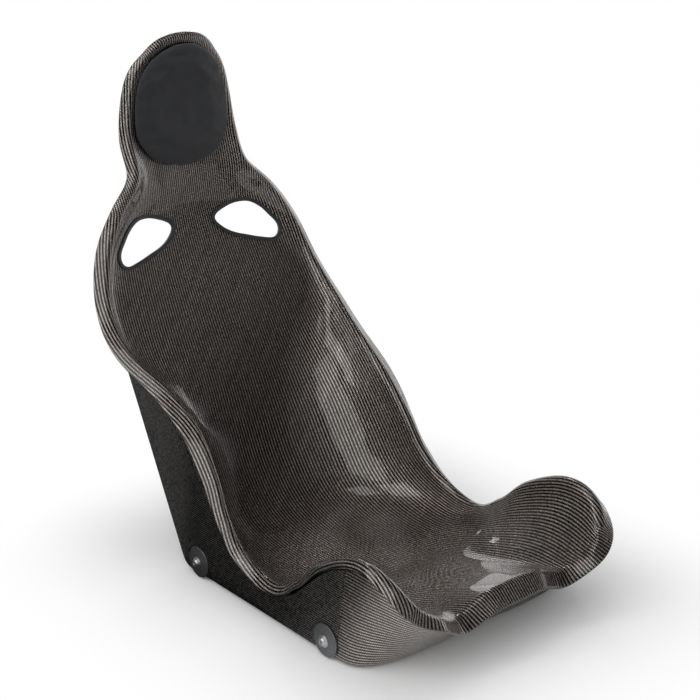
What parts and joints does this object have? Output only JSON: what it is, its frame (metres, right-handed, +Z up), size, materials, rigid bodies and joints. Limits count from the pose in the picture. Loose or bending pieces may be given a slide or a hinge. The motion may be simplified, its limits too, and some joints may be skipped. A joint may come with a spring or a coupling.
{
  "type": "racing seat",
  "caption": "Fixed-back bucket racing seat: carbon laminate shell with rolled rim and harness slots, boxed side-mount base with bolts, padded headrest.",
  "frame": {"origin": "in the plane the base stands on, in the middle across, halfway between the front and rear side bolts", "axes": "+X to the sitter's left, -Y the way the sitter faces, +Z up"},
  "size_m": [0.4444, 0.7803, 0.7431],
  "materials": {
    "carbon": "clear-coated twill-weave carbon laminate",
    "rubber": "matt extruded rubber edging",
    "cloth": "fine woven seat fabric",
    "foam": "soft open-cell foam",
    "board": "thin matt plastic sheet",
    "tape": "hook-and-loop tape",
    "plate": "milled aluminium plate",
    "insert": "turned steel",
    "washer": "dark anodised, turned",
    "bolt": "bright zinc-plated steel"
  },
  "bodies": {
    "root": {"seat_shell": "carbon", "outer_skin": "carbon", "harness_trim_left": "rubber", "harness_trim_right": "rubber", "headrest_cover": "cloth", "headrest_foam": "foam", "headrest_board": "board", "headrest_tape": "tape", "mount_plate_left": "plate", "mount_plate_right": "plate", "insert_front_left": "insert", "insert_front_right": "insert", "insert_rear_left": "insert", "insert_rear_right": "insert", "washer_front_left": "washer", "washer_front_right": "washer", "washer_rear_left": "washer", "washer_rear_right": "washer", "bolt_front_left": "bolt", "bolt_front_right": "bolt", "bolt_rear_left": "bolt", "bolt_rear_right": "bolt"}
  },
  "joints": []
}
